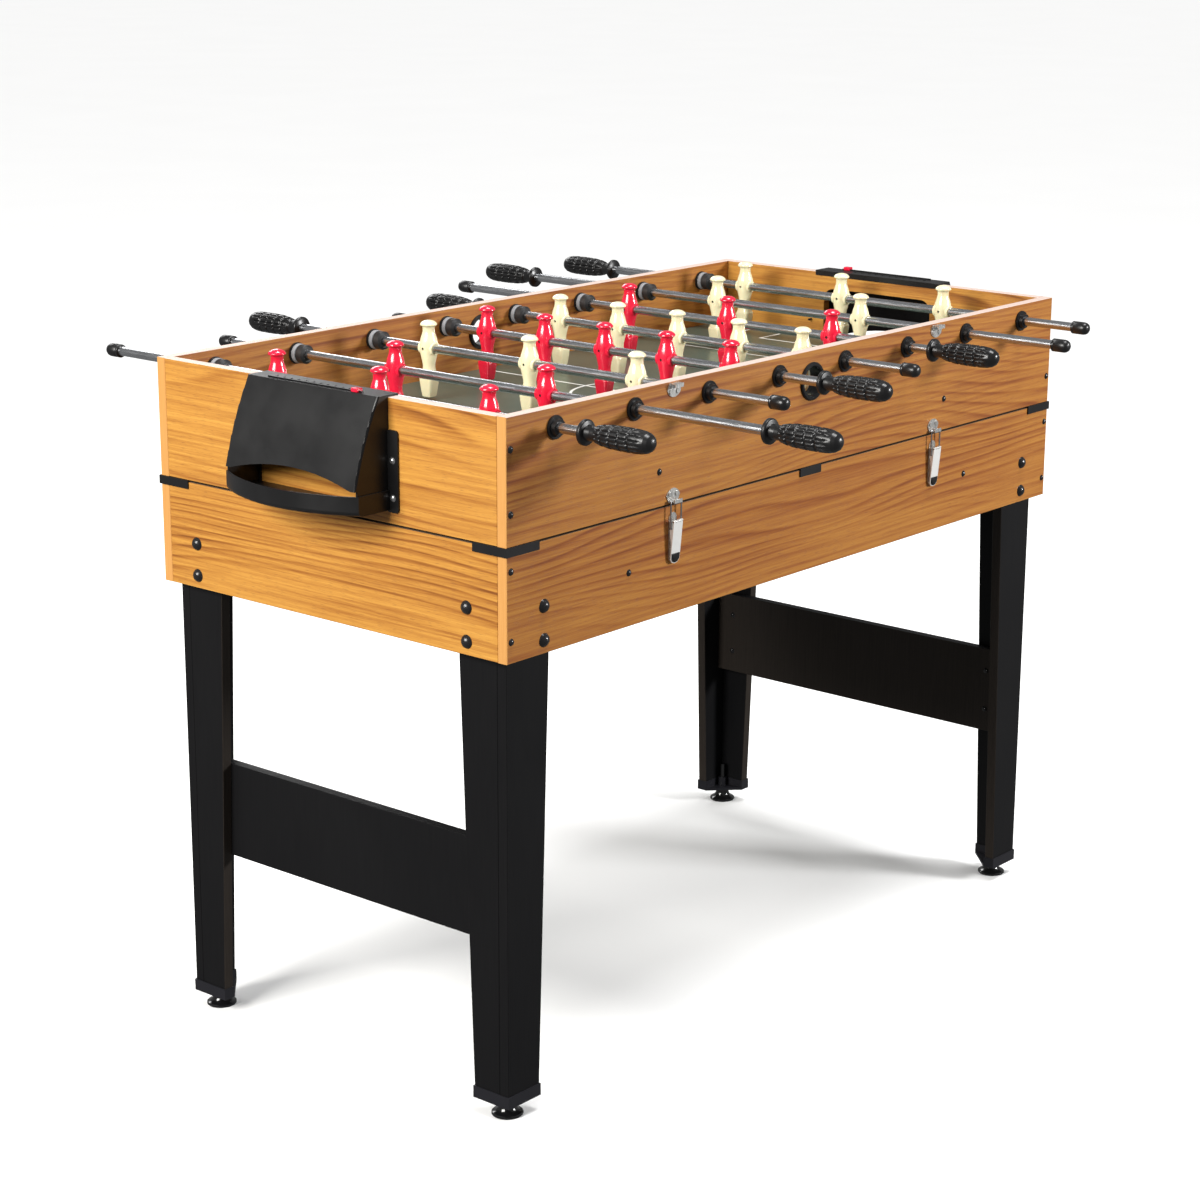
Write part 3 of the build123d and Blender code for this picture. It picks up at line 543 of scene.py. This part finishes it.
def skin_rings(mesh, rings):
    """Joins rings of points, all the same length, into a closed skin inside a bmesh."""
    loops = [[mesh.verts.new(point) for point in ring] for ring in rings]
    count = len(loops[0])
    for low, high in zip(loops, loops[1:]):
        for k in range(count):
            follow = (k + 1) % count
            mesh.faces.new((low[k], low[follow], high[follow], high[k]))
    for loop in (loops[0], loops[-1]):
        centre = mesh.verts.new(sum((vert.co for vert in loop), Vector()) / count)
        for k in range(count):
            mesh.faces.new((loop[k], loop[(k + 1) % count], centre))


def finish_piece(name, mesh, finish, body, smooth_angle=40):
    """Turns a bmesh into an object that rides on a body."""
    bmesh.ops.recalc_face_normals(mesh, faces=mesh.faces)
    data = bpy.data.meshes.new(name)
    mesh.to_mesh(data)
    mesh.free()
    data.shade_smooth()
    data.set_sharp_from_angle(angle=math.radians(smooth_angle))
    data.materials.append(finish.material)
    piece = bpy.data.objects.new(name, data)
    bpy.context.scene.collection.objects.link(piece)
    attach(piece, body)
    return piece


def between(place, table, eased=False):
    """Reads a value from a short table of (place, value) rows, in straight or in eased steps."""
    for (low, first), (high, second) in zip(table, table[1:]):
        if place <= high:
            share = (place - low) / (high - low)
            if eased:
                share = share * share * (3 - 2 * share)
            return first + (second - first) * share
    return table[-1][1]


def circle(line, y, radius, count):
    """A ring of points round a line that runs along Y."""
    angles = [2 * math.pi * k / count for k in range(count)]
    return [(line.x + radius * math.sin(a), y, line.z + radius * math.cos(a)) for a in angles]


print("round pieces can be skinned from rings")

# %% [markdown]
# ## Ribbed grips
# A grip is a moulded handle: a round collar, a plain neck, then a barrel with fourteen ribs cut across by four
# grooves, and a smooth domed end. The ribs are made in the mesh and not in a bump map, because the outline shows
# them. At each ring the radius is the barrel's, less the depth of any groove the ring or the angle lies in.

# %% Shape of a grip
grip_length = 0.107
rib_count = 14
rib_depth = 0.0017
cut_places = (0.031, 0.045, 0.059, 0.073)
ribs_from, ribs_to = 0.016, 0.0845
ribbed_part = [(0, 0), (ribs_from - 0.006, 0), (ribs_from + 0.004, 1), (ribs_to - 0.003, 1), (ribs_to, 0)]
ring_step = 0.0012
cut_width = 0.0013
rib_gap = 0.0009
points_per_rib = 8
barrel = [
    # distance from the tip, radius
    (0.0000, 0.0030),
    (0.0012, 0.0064),
    (0.0040, 0.0098),
    (0.0085, 0.0124),
    (0.0150, 0.0140),
    (0.0250, 0.0148),
    (0.0460, 0.0150),
    (0.0650, 0.0144),
    (0.0780, 0.0128),
    (0.0845, 0.0112),
    (0.0862, 0.0094),
    (0.0930, 0.0092),
    (0.1000, 0.0098),
    (0.1010, 0.0146),
    (0.1025, 0.0160),
    (0.1060, 0.0160),
    (0.1070, 0.0150),
]


def dip(distance, width):
    """1 in the middle of a groove, falling smoothly to 0 outside it."""
    return math.exp(-((distance / width) ** 4))


def grip_rings(tip, towards, line):
    """Rings of a grip whose closed end is at tip and whose collar lies in the direction towards (1 or -1)."""
    count = rib_count * points_per_rib
    half_rib = points_per_rib // 2
    steps = int(grip_length / ring_step) + 1
    places = sorted({row[0] for row in barrel} | {ring_step * k for k in range(steps)})
    rings = []
    for place in places:
        radius = between(place, barrel)
        ribbed = between(place, ribbed_part, True)
        across = max(dip(place - cut, cut_width) for cut in cut_places)
        ring = []
        for k in range(count):
            angle = 2 * math.pi * k / count
            # How far round the barrel the point lies from the nearest groove between two ribs.
            offset = ((k + half_rib) % points_per_rib - half_rib) / count * 2 * math.pi * radius
            groove = max(dip(offset, rib_gap), across)
            r = radius - rib_depth * ribbed * groove
            ring.append((line.x + r * math.sin(angle), tip + towards * place, line.z + r * math.cos(angle)))
        rings.append(ring)
    return rings


print(f"a grip is {grip_length * 1000:.0f} mm long, with {rib_count} ribs and {len(cut_places)} grooves across them")

# %% [markdown]
# The far end of each rod wears a plain cap: a short tube with a domed end and a thin lip at its mouth, so that the
# bare cut of the tube can't scratch anyone. Its outline is a table like the grip's, with nothing cut into it.

# %% Shape of a cap
cap_outline = [
    # distance from the tip, radius
    (0.0000, 0.0025),
    (0.0006, 0.0048),
    (0.0022, 0.0071),
    (0.0048, 0.0086),
    (0.0080, 0.0092),
    (0.0215, 0.0092),
    (0.0220, 0.0088),
    (0.0226, 0.0088),
    (0.0231, 0.0092),
    (0.0254, 0.0092),
    (0.0260, 0.0086),
]


def cap_rings(tip, towards, line):
    """Rings of an end cap whose domed end is at tip."""
    return [circle(line, tip + towards * place, radius, 40) for place, radius in cap_outline]


print(f"a cap is {cap_outline[-1][0] * 1000:.0f} mm long")

# %% [markdown]
# Each rod has its grip on the side of the team that plays it and its cap on the other side. The CAD already knows
# which, and only a grip is wide, so the width of the node near its front end tells where the grip belongs. The two
# pieces are one mesh, because they ride on the same rod and take the place of one CAD node.

# %% Grips and caps on every rod
grip_black = black_part("grip_black", 0.0050, 0.30, 420, 0.00003, Specular_IOR_Level=0.42)
widest_cap = 0.012


def has_grip_in_front(n):
    low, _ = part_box(f"rod_{n}_grips")
    points = [vert.co for vert in nodes[f"rod_{n}_grips"].data.vertices]
    near = [point for point in points if point.y < low.y + grip_length + 0.001]
    return max(abs(point.x - rod_line[n].x) for point in near) > widest_cap


grips_in_front = 0
for n in rod_numbers:
    low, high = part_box(f"rod_{n}_grips")
    ends = [(low.y, 1), (high.y, -1)]
    if has_grip_in_front(n):
        grips_in_front += 1
    else:
        ends.reverse()
    mesh = bmesh.new()
    skin_rings(mesh, grip_rings(*ends[0], rod_line[n]))
    skin_rings(mesh, cap_rings(*ends[1], rod_line[n]))
    piece = finish_piece(f"rod_{n}_grip_and_cap", mesh, grip_black, f"rod_{n}", 50)
    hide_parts(f"rod_{n}_grips")
print(f"8 grips, {grips_in_front} of them in front, and 8 caps")

# %% [markdown]
# ## The men
# A man is one glossy moulding: a cap-like head with a brim, a neck, a body that swells round the rod, a waist, and
# two legs that run into a block foot. Its sections are circles at the head and rounded squares at the foot, so each
# ring is a superellipse whose power grows downwards. A boss runs along the rod on both sides, joined to the body by a
# boolean, and a grub screw sits in a hole on one side.

# %% Shape of a man
body_sections = [
    # height, half depth along X, half width along Y, power
    (0.0390, 0.0012, 0.0012, 2.0),
    (0.0387, 0.0042, 0.0042, 2.0),
    (0.0377, 0.0075, 0.0075, 2.0),
    (0.0362, 0.0099, 0.0099, 2.0),
    (0.0346, 0.0114, 0.0114, 2.0),
    (0.0334, 0.0119, 0.0119, 2.0),
    (0.0325, 0.0119, 0.0119, 2.0),
    (0.0318, 0.0114, 0.0114, 2.0),
    (0.0308, 0.0098, 0.0098, 2.0),
    (0.0298, 0.0088, 0.0088, 2.0),
    (0.0275, 0.0084, 0.0084, 2.0),
    (0.0245, 0.0084, 0.0084, 2.0),
    (0.0210, 0.0090, 0.0090, 2.0),
    (0.0165, 0.0105, 0.0106, 2.0),
    (0.0115, 0.0118, 0.0121, 2.0),
    (0.0060, 0.0125, 0.0129, 2.0),
    (0.0000, 0.0126, 0.0130, 2.0),
    (-0.0060, 0.0121, 0.0124, 2.1),
    (-0.0120, 0.0108, 0.0111, 2.1),
    (-0.0180, 0.0093, 0.0095, 2.2),
    (-0.0230, 0.0083, 0.0085, 2.3),
    (-0.0265, 0.0080, 0.0083, 2.4),
    (-0.0300, 0.0082, 0.0087, 2.6),
    (-0.0340, 0.0088, 0.0095, 2.9),
    (-0.0385, 0.0096, 0.0106, 3.3),
    (-0.0412, 0.0101, 0.0112, 3.8),
    (-0.0418, 0.0104, 0.0115, 4.6),
    (-0.0428, 0.0105, 0.0115, 5.5),
    (-0.0500, 0.0098, 0.0107, 6.0),
    (-0.0600, 0.0086, 0.0093, 6.0),
    (-0.0668, 0.0077, 0.0082, 6.0),
    (-0.0680, 0.0074, 0.0079, 5.5),
    (-0.0685, 0.0068, 0.0072, 5.0),
]
boss_radius = 0.0092
boss_half = 0.0133
tube_radius = 0.0064
grub_radius = 0.0019


def superellipse(half_x, half_y, power, count=48):
    ring = []
    for k in range(count):
        angle = 2 * math.pi * k / count
        c, s = math.cos(angle), math.sin(angle)
        ring.append((
            half_x * math.copysign(abs(c) ** (2 / power), c),
            half_y * math.copysign(abs(s) ** (2 / power), s),
        ))
    return ring


def round_bar(mesh, axis, start, end, radius, rim, count=32):
    """A bar along X or Y, with its rims eased by a small step."""
    places = [(start, radius - rim), (start + rim, radius), (end - rim, radius), (end, radius - rim)]
    rings = []
    for place, r in places:
        ring = []
        for k in range(count):
            angle = 2 * math.pi * k / count
            across, up = r * math.sin(angle), r * math.cos(angle)
            ring.append((place, across, up) if axis == "X" else (across, place, up))
        rings.append(ring)
    skin_rings(mesh, rings)


def loose_object(name, build):
    """A throwaway object from a function that fills a bmesh."""
    mesh = bmesh.new()
    build(mesh)
    bmesh.ops.recalc_face_normals(mesh, faces=mesh.faces)
    data = bpy.data.meshes.new(name)
    mesh.to_mesh(data)
    mesh.free()
    made = bpy.data.objects.new(name, data)
    bpy.context.scene.collection.objects.link(made)
    return made


def figure(mesh):
    """The man without his boss, as a stack of his sections."""
    rings = [[(x, y, height) for x, y in superellipse(hx, hy, power)] for height, hx, hy, power in body_sections]
    skin_rings(mesh, rings)


def man_mesh():
    """The finished man about the middle of his rod, as one closed mesh."""
    man = loose_object("man_body", figure)
    tools = [
        (loose_object("boss", lambda m: round_bar(m, "Y", -boss_half, boss_half, boss_radius, 0.0007)), "UNION"),
        (loose_object("bore", lambda m: round_bar(m, "Y", -0.03, 0.03, tube_radius, 0.0001)), "DIFFERENCE"),
        (loose_object("grub_hole", lambda m: round_bar(m, "X", -0.02, -0.0075, grub_radius, 0.0001)), "DIFFERENCE"),
    ]
    for tool, operation in tools:
        cut = man.modifiers.new(operation, "BOOLEAN")
        cut.operation = operation
        cut.solver = "EXACT"
        cut.object = tool
    graph = bpy.context.evaluated_depsgraph_get()
    data = bpy.data.meshes.new_from_object(man.evaluated_get(graph))
    for made in (man, *(tool for tool, _ in tools)):
        bpy.data.objects.remove(made)
    return data


man_data = man_mesh()
print(f"a man has {len(man_data.polygons)} faces")

# %% [markdown]
# ## Team colours
# The plastic is coloured right through and polished by the mould, so it needs depth: a little light scatters under
# the surface of the cream, a clear coat gives the sharp highlight, and slow waves in the normal keep the highlight
# from being too perfect.

# %% Team colours


def team_plastic(name, low, high, scatter):
    finish = Finish(name, IOR=1.5, Coat_Weight=0.6, Coat_Roughness=0.05, Subsurface_Weight=scatter)
    finish.skin.inputs["Subsurface Radius"].default_value = (0.004, 0.002, 0.0015)
    finish.skin.inputs["Subsurface Scale"].default_value = 0.5
    x, y, z = finish.place()
    cloud = finish.noise(x * 60, y * 60, z * 60, 3.0, 0.6)
    wave = finish.noise(x * 130, y * 130, z * 90, 1.0, 0.4)
    finish.paint(
        Base_Color=finish.mix(cloud, low, high),
        Roughness=finish.fade(cloud, 0.3, 0.7, 0.18, 0.28),
        Normal=finish.bump(wave, 0.0006, 0.35),
    )
    return finish


team_red = team_plastic("team_red", (0.66, 0.006, 0.030), (0.80, 0.012, 0.052), 0.0)
team_cream = team_plastic("team_cream", (0.78, 0.70, 0.42), (0.88, 0.82, 0.56), 0.12)
grub_steel = zinc_plate("grub_steel", (0.05, 0.05, 0.055), (0.12, 0.12, 0.125), 0.35)
slots = {row["node"]: row["material_slot"] for row in frame["record"]["subparts"]}
red_rods = {n for n in rod_numbers if slots[f"rod_{n}_men"] == "red_plastic"}
print(f"the red team plays rods {sorted(red_rods)}")

# %% [markdown]
# ## Men on their rods
# One man is built once and copied to every place, as a mould does. The places come from the CAD: only heads reach
# high over the rod, so the points up there fall into one group for each man, and the middle of a group is his place.

# %% Every man in his place
head_height = 0.030
head_gap = 0.02


def men_places(n):
    """Where the men of rod n stand along it."""
    data = nodes[f"rod_{n}_men"].data
    heads = sorted(vert.co.y for vert in data.vertices if vert.co.z > rod_z + head_height)
    groups = [[heads[0]]]
    for y in heads[1:]:
        if y - groups[-1][-1] > head_gap:
            groups.append([])
        groups[-1].append(y)
    return [(group[0] + group[-1]) / 2 for group in groups]


men_count = 0
for n in rod_numbers:
    finish = team_red if n in red_rods else team_cream
    mesh = bmesh.new()
    screws = bmesh.new()
    for y in men_places(n):
        spot = Matrix.Translation((rod_line[n].x, y, rod_z))
        before = len(mesh.verts)
        mesh.from_mesh(man_data)
        mesh.verts.ensure_lookup_table()
        bmesh.ops.transform(mesh, matrix=spot, verts=mesh.verts[before:])
        before = len(screws.verts)
        round_bar(screws, "X", -0.0112, -0.0076, grub_radius - 0.0001, 0.0003, 12)
        screws.verts.ensure_lookup_table()
        bmesh.ops.transform(screws, matrix=spot, verts=screws.verts[before:])
        men_count += 1
    men = finish_piece(f"rod_{n}_moulded_men", mesh, finish, f"rod_{n}", 38)
    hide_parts(f"rod_{n}_men")
    finish_piece(f"rod_{n}_grub_screws", screws, grub_steel, f"rod_{n}", 30)
print(f"{men_count} men with their grub screws")

# %% [markdown]
# ## Latch pads
# The lever of a draw latch ends in a black pad for the thumb. The CAD lever is the bare plate, so the pad is added
# here and rides on it. The plate leans, so the pad is drawn flat, and a matrix made from the plate's own directions
# stands it up: one axis across the lever, one up along the plate, one out of its face.

# %% Thumb pads
pad_half, pad_top, pad_rise = 0.0078, 0.0135, 0.0007
pad_margin = 0.0009
foot_height = 0.0035


def facing_out(latch):
    """The way a latch faces along Y."""
    return -1 if latch.startswith("front") else 1


def lever_top(latch):
    """The middle of the top edge of a lever's outer face."""
    low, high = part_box(f"latch_lever_{latch}")
    return Vector(((low.x + high.x) / 2, low.y if facing_out(latch) < 0 else high.y, high.z))


def lever_stand(latch):
    """A matrix from a flat drawing to the foot of a lever's outer face."""
    out = facing_out(latch)
    low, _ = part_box(f"latch_lever_{latch}")
    points = [vert.co for vert in nodes[f"latch_lever_{latch}"].data.vertices]
    top = lever_top(latch)
    foot_y = max(point.y * out for point in points if point.z < low.z + foot_height) * out
    foot = Vector((top.x, foot_y, low.z))
    up = (top - foot).normalized()
    across = Vector((-out, 0, 0))
    outwards = up.cross(across)
    if outwards.y * out < 0:
        outwards, across = -outwards, -across
    stand = Matrix((across, up, outwards)).transposed().to_4x4()
    stand.translation = foot
    return stand


def pad_rings():
    """Rings of a pad with a round end, square top corners and an eased rim."""
    rings = []
    for height, inset in ((0.0, 0.0), (pad_rise * 0.6, 0.0), (pad_rise, 0.0005)):
        half = pad_half - inset
        ring = [(half, pad_top - inset, height), (-half, pad_top - inset, height)]
        for k in range(17):
            angle = math.pi + math.pi * k / 16
            ring.append((half * math.cos(angle), pad_half + pad_margin + half * math.sin(angle), height))
        rings.append(ring)
    return rings


for latch in latch_places:
    mesh = bmesh.new()
    skin_rings(mesh, pad_rings())
    bmesh.ops.transform(mesh, matrix=lever_stand(latch), verts=mesh.verts)
    finish_piece(f"latch_pad_{latch}", mesh, nylon, f"latch_lever_{latch}", 35)
print(f"{len(latch_places)} thumb pads, {2 * pad_half * 1000:.1f} mm wide")

# %% [markdown]
# ## Rolled tops
# The top edge of each lever is rolled over, so that no sharp edge faces the hand. A roll is a round bar along the
# edge, in three lengths: the gaps between them swing past the two ears of the base plate when the lever opens. A
# single bar would cut through the ears there.

# %% Rolls on the levers
roll_radius = 0.0017
roll_lengths = ((-1.0, -0.82), (-0.60, 0.60), (0.82, 1.0))

for latch in latch_places:
    low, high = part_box(f"latch_lever_{latch}")
    half = (high.x - low.x) / 2
    mesh = bmesh.new()
    for start, end in roll_lengths:
        round_bar(mesh, "X", start * half, end * half, roll_radius, 0.0003, 20)
    roll_line = lever_top(latch) - Vector((0, facing_out(latch) * roll_radius, roll_radius))
    bmesh.ops.translate(mesh, verts=mesh.verts, vec=roll_line)
    finish_piece(f"latch_roll_{latch}", mesh, zinc, f"latch_lever_{latch}", 40)
print(f"{len(latch_places)} rolled tops, each in {len(roll_lengths)} lengths")

# %% [markdown]
# ## Score markers
# A red saddle slides along each score rail. It is the one bright spot on the hood, in the same hard gloss plastic as
# the red men.

# %% The red saddles
dress(["score_slider_left", "score_slider_right"], team_red)

# %% [markdown]
# ## Floor and room
# A product shot wants a pale floor without a near edge, so the floor is a very large sheet. A white floor also throws
# light up at everything above it, which washes out wood and turns black parts grey. It is therefore hidden from
# diffuse and glossy rays: the camera sees it and it takes shadows, but dark undersides stay dark. The room around it
# is a weak, even white.

# %% Floor and world
floor_reach = 60
floor_finish = Finish("studio_floor", Roughness=0.6)
x, y, _ = floor_finish.place()
patch = floor_finish.noise(x * 1.5, y * 1.5, 0.0, 3.0, 0.5)
floor_finish.paint(Base_Color=floor_finish.mix(patch, (0.91, 0.91, 0.905), (0.94, 0.94, 0.935)))
mesh = bmesh.new()
bmesh.ops.create_grid(mesh, x_segments=8, y_segments=8, size=floor_reach)
data = bpy.data.meshes.new("floor")
mesh.to_mesh(data)
mesh.free()
data.materials.append(floor_finish.material)
floor = bpy.data.objects.new("floor", data)
bpy.context.scene.collection.objects.link(floor)
floor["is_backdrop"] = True
floor.visible_diffuse = False
floor.visible_glossy = False

world = bpy.data.worlds.new("studio")
world.use_nodes = True
background = world.node_tree.nodes["Background"]
background.inputs["Color"].default_value = (1.0, 1.0, 1.0, 1)
background.inputs["Strength"].default_value = 0.22
bpy.context.scene.world = world
bpy.context.scene.view_settings.view_transform = "Standard"
print(f"a floor that reaches {floor_reach} m each way")

# %% [markdown]
# ## Lights
# The table's end faces the large key light, so it comes out brighter and yellower than the long side. A small, low
# box at the front right lights the long side and throws the handles' shadows to the left along it, and a box behind
# draws the top edges. A soft sun almost overhead whitens the floor, and its wide angle blurs the table's shadow.

# %% Softboxes and a soft sun


def softbox(name, place, target, width, height, power, colour=(1, 1, 1)):
    """A rectangular area light that faces a target."""
    lamp = bpy.data.lights.new(name, "AREA")
    lamp.shape = "RECTANGLE"
    lamp.size = width
    lamp.size_y = height
    lamp.energy = power
    lamp.color = colour
    made = bpy.data.objects.new(name, lamp)
    made.location = place
    made.rotation_euler = (Vector(target) - Vector(place)).to_track_quat("-Z", "Y").to_euler()
    bpy.context.scene.collection.objects.link(made)


table_middle = Vector((0, 0, 0.7))
sun_direction = Vector((-0.10, 0.12, -0.988))
softbox("key_left", (-4.2, 0.4, 2.6), table_middle, 2.4, 1.8, 310, (1.0, 0.985, 0.95))
softbox("fill_front", (2.3, -3.7, 1.85), table_middle, 0.9, 0.7, 180)
softbox("rim_back", (1.5, 4.0, 3.0), table_middle, 3.0, 1.2, 70)
sun_lamp = bpy.data.lights.new("soft_sun", "SUN")
sun_lamp.energy = 2.9
sun_lamp.angle = math.radians(24)
sun = bpy.data.objects.new("soft_sun", sun_lamp)
sun.rotation_euler = sun_direction.to_track_quat("-Z", "Y").to_euler()
bpy.context.scene.collection.objects.link(sun)
print("3 softboxes and a soft sun")

# %% [markdown]
# ## Camera
# A long lens from a little above the table's height, looking at its front left corner, shows one end, one long side
# and the pitch between them. The direction is built from two angles, how far round and how far down, and a last
# small turn about the line of sight levels the view.

# %% Camera
camera_data = bpy.data.cameras.new("camera")
camera_data.lens = 82.13
camera_data.sensor_width = 36
camera = bpy.data.objects.new("camera", camera_data)
camera.location = (-2.941, -2.422, 1.544)
yaw, pitch, roll = math.radians(40.18), math.radians(15.13), math.radians(0.22)
ahead = Vector((math.cos(yaw) * math.cos(pitch), math.sin(yaw) * math.cos(pitch), -math.sin(pitch)))
turn = ahead.to_track_quat("-Z", "Y").to_matrix() @ Matrix.Rotation(roll, 3, "Z")
camera.rotation_euler = turn.to_euler()
bpy.context.scene.collection.objects.link(camera)
bpy.context.scene.camera = camera
print(f"a lens of {camera_data.lens:.0f} mm, {camera.location.length:.2f} m from the middle of the floor")

# %% [markdown]
# ## Sizes and the last line
# The visual model's box is written out, as the CAD model's size was after loading. The visual model
# must stay inside the CAD model's box.

# %% Sizes
low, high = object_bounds()
print(f"visual box from {tuple(round(v, 4) for v in low)} to {tuple(round(v, 4) for v in high)}")
